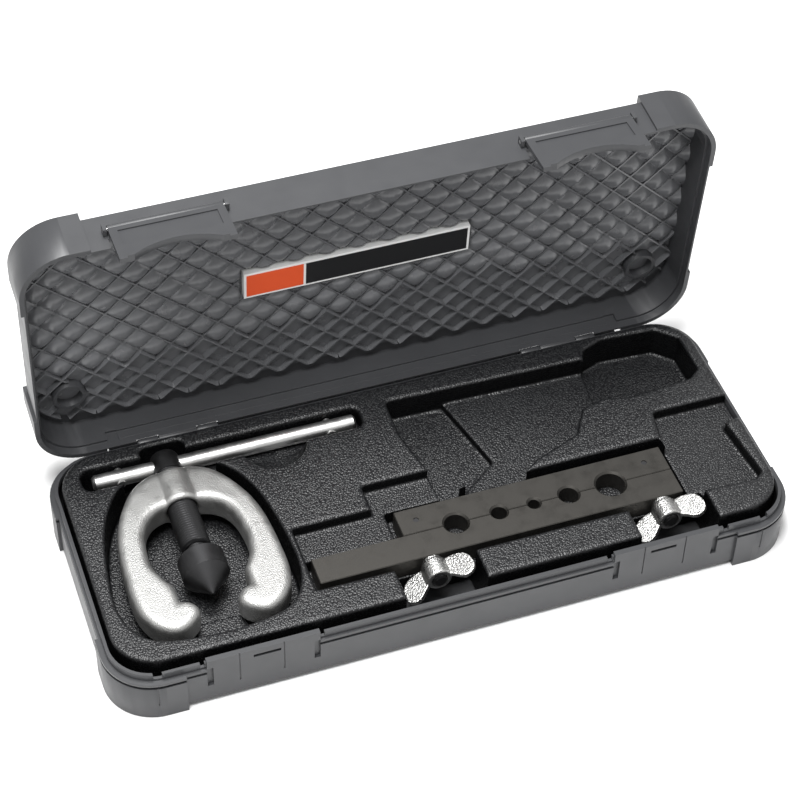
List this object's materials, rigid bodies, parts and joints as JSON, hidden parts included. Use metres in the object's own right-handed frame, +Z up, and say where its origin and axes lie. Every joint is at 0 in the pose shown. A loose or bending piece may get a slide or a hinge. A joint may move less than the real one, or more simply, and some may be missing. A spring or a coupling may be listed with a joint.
{
  "type": "flaring tool kit",
  "caption": "Tube flaring tool in a hinged carrying case: yoke with feed screw and cone, split die bars with wing nuts, fitted tray.",
  "frame": {"origin": "bottom centre of the closed case, in the plane of its corner feet, midway between its ends and between its front and rear walls", "axes": "+X along the case to the right as the user faces the latches, +Y from the latches to the hinge, +Z up"},
  "size_m": [0.3552, 0.1753, 0.1809],
  "materials": {
    "case": "satin grey moulded polypropylene",
    "lid": "satin grey moulded polypropylene",
    "tray": "black pebble-grained foam insert",
    "badge": "printed plate in orange and black with a pale border, no lettering",
    "latch": "satin grey moulded plastic",
    "hinge_steel": "bright steel wire",
    "forging": "tumbled and zinc plated steel forging",
    "black_steel": "black oxide steel",
    "bright_steel": "bright nickel plated steel",
    "bearing_steel": "polished steel ball",
    "die_steel": "phosphated tool steel",
    "zinc": "zinc plated steel"
  },
  "bodies": {
    "case_base": {"base_shell": "case", "hinge_pins": "hinge_steel", "tray_insert": "tray"},
    "lid": {"lid_shell": "lid", "lid_badge": "badge", "latch_pins_left": "hinge_steel", "latch_pins_right": "hinge_steel"},
    "latch_left": {"latch_left": "latch"},
    "latch_right": {"latch_right": "latch"},
    "yoke": {"yoke": "forging"},
    "cone": {"flaring_cone": "black_steel", "thrust_ball": "bearing_steel"},
    "screw": {"feed_screw": "black_steel", "retaining_ring": "bright_steel"},
    "tommy_bar": {"tommy_bar": "bright_steel"},
    "rear_bar": {"rear_die_bar": "die_steel", "clamp_stud_left": "black_steel", "clamp_stud_right": "black_steel", "stud_pins": "black_steel"},
    "front_bar": {"front_die_bar": "die_steel", "washer_left": "zinc", "washer_right": "zinc"},
    "wing_nut_left": {"wing_nut_left": "zinc"},
    "wing_nut_right": {"wing_nut_right": "zinc"}
  },
  "joints": [
    {"name": "lid_hinge", "type": "hinge", "parent": "case_base", "child": "lid", "pos_m": [0, 0.0752, 0.025], "axis": [-1, 0, 0], "range_deg": [-85.7, 6]},
    {"name": "latch_left_hinge", "type": "hinge", "parent": "lid", "child": "latch_left", "pos_m": [-0.1038, 0.07383, 0.17652], "axis": [-1, 0, 0], "range_deg": [-8, 80]},
    {"name": "latch_right_hinge", "type": "hinge", "parent": "lid", "child": "latch_right", "pos_m": [0.1038, 0.07383, 0.17652], "axis": [-1, 0, 0], "range_deg": [-8, 80]},
    {"name": "yoke_lift_out", "type": "slide", "parent": "case_base", "child": "yoke", "axis": [0, 0, 1], "range_m": [0, 0.06]},
    {"name": "screw_feed", "type": "slide", "parent": "yoke", "child": "cone", "axis": [0, -1, 0], "range_m": [0, 0.0000834]},
    {"name": "screw_turn", "type": "hinge", "parent": "cone", "child": "screw", "pos_m": [-0.1166, 0, 0.026], "axis": [0, -1, 0], "range_deg": [0, 20]},
    {"name": "tommy_bar_slide", "type": "slide", "parent": "screw", "child": "tommy_bar", "axis": [1, 0, 0], "range_m": [-0.0045, 0.0015]},
    {"name": "die_set_lift_out", "type": "slide", "parent": "case_base", "child": "rear_bar", "axis": [0, 0, 1], "range_m": [0, 0.04]},
    {"name": "front_bar_open", "type": "slide", "parent": "rear_bar", "child": "front_bar", "axis": [0, -1, 0], "range_m": [0, 0.00375]},
    {"name": "wing_nut_left_turn", "type": "hinge", "parent": "front_bar", "child": "wing_nut_left", "pos_m": [-0.0089, -0.05, 0.0235], "axis": [0, -1, 0], "range_deg": [0, 1080]},
    {"name": "wing_nut_right_turn", "type": "hinge", "parent": "front_bar", "child": "wing_nut_right", "pos_m": [0.1142, -0.05, 0.0235], "axis": [0, -1, 0], "range_deg": [0, 1080]}
  ],
  "couplings": [
    {"joint": "screw_feed", "follows": "screw_turn", "m_per_rad": 0.00023873},
    {"joint": "wing_nut_left_turn", "follows": "front_bar_open", "rad_per_m": 5026.5},
    {"joint": "wing_nut_right_turn", "follows": "front_bar_open", "rad_per_m": 5026.5}
  ]
}
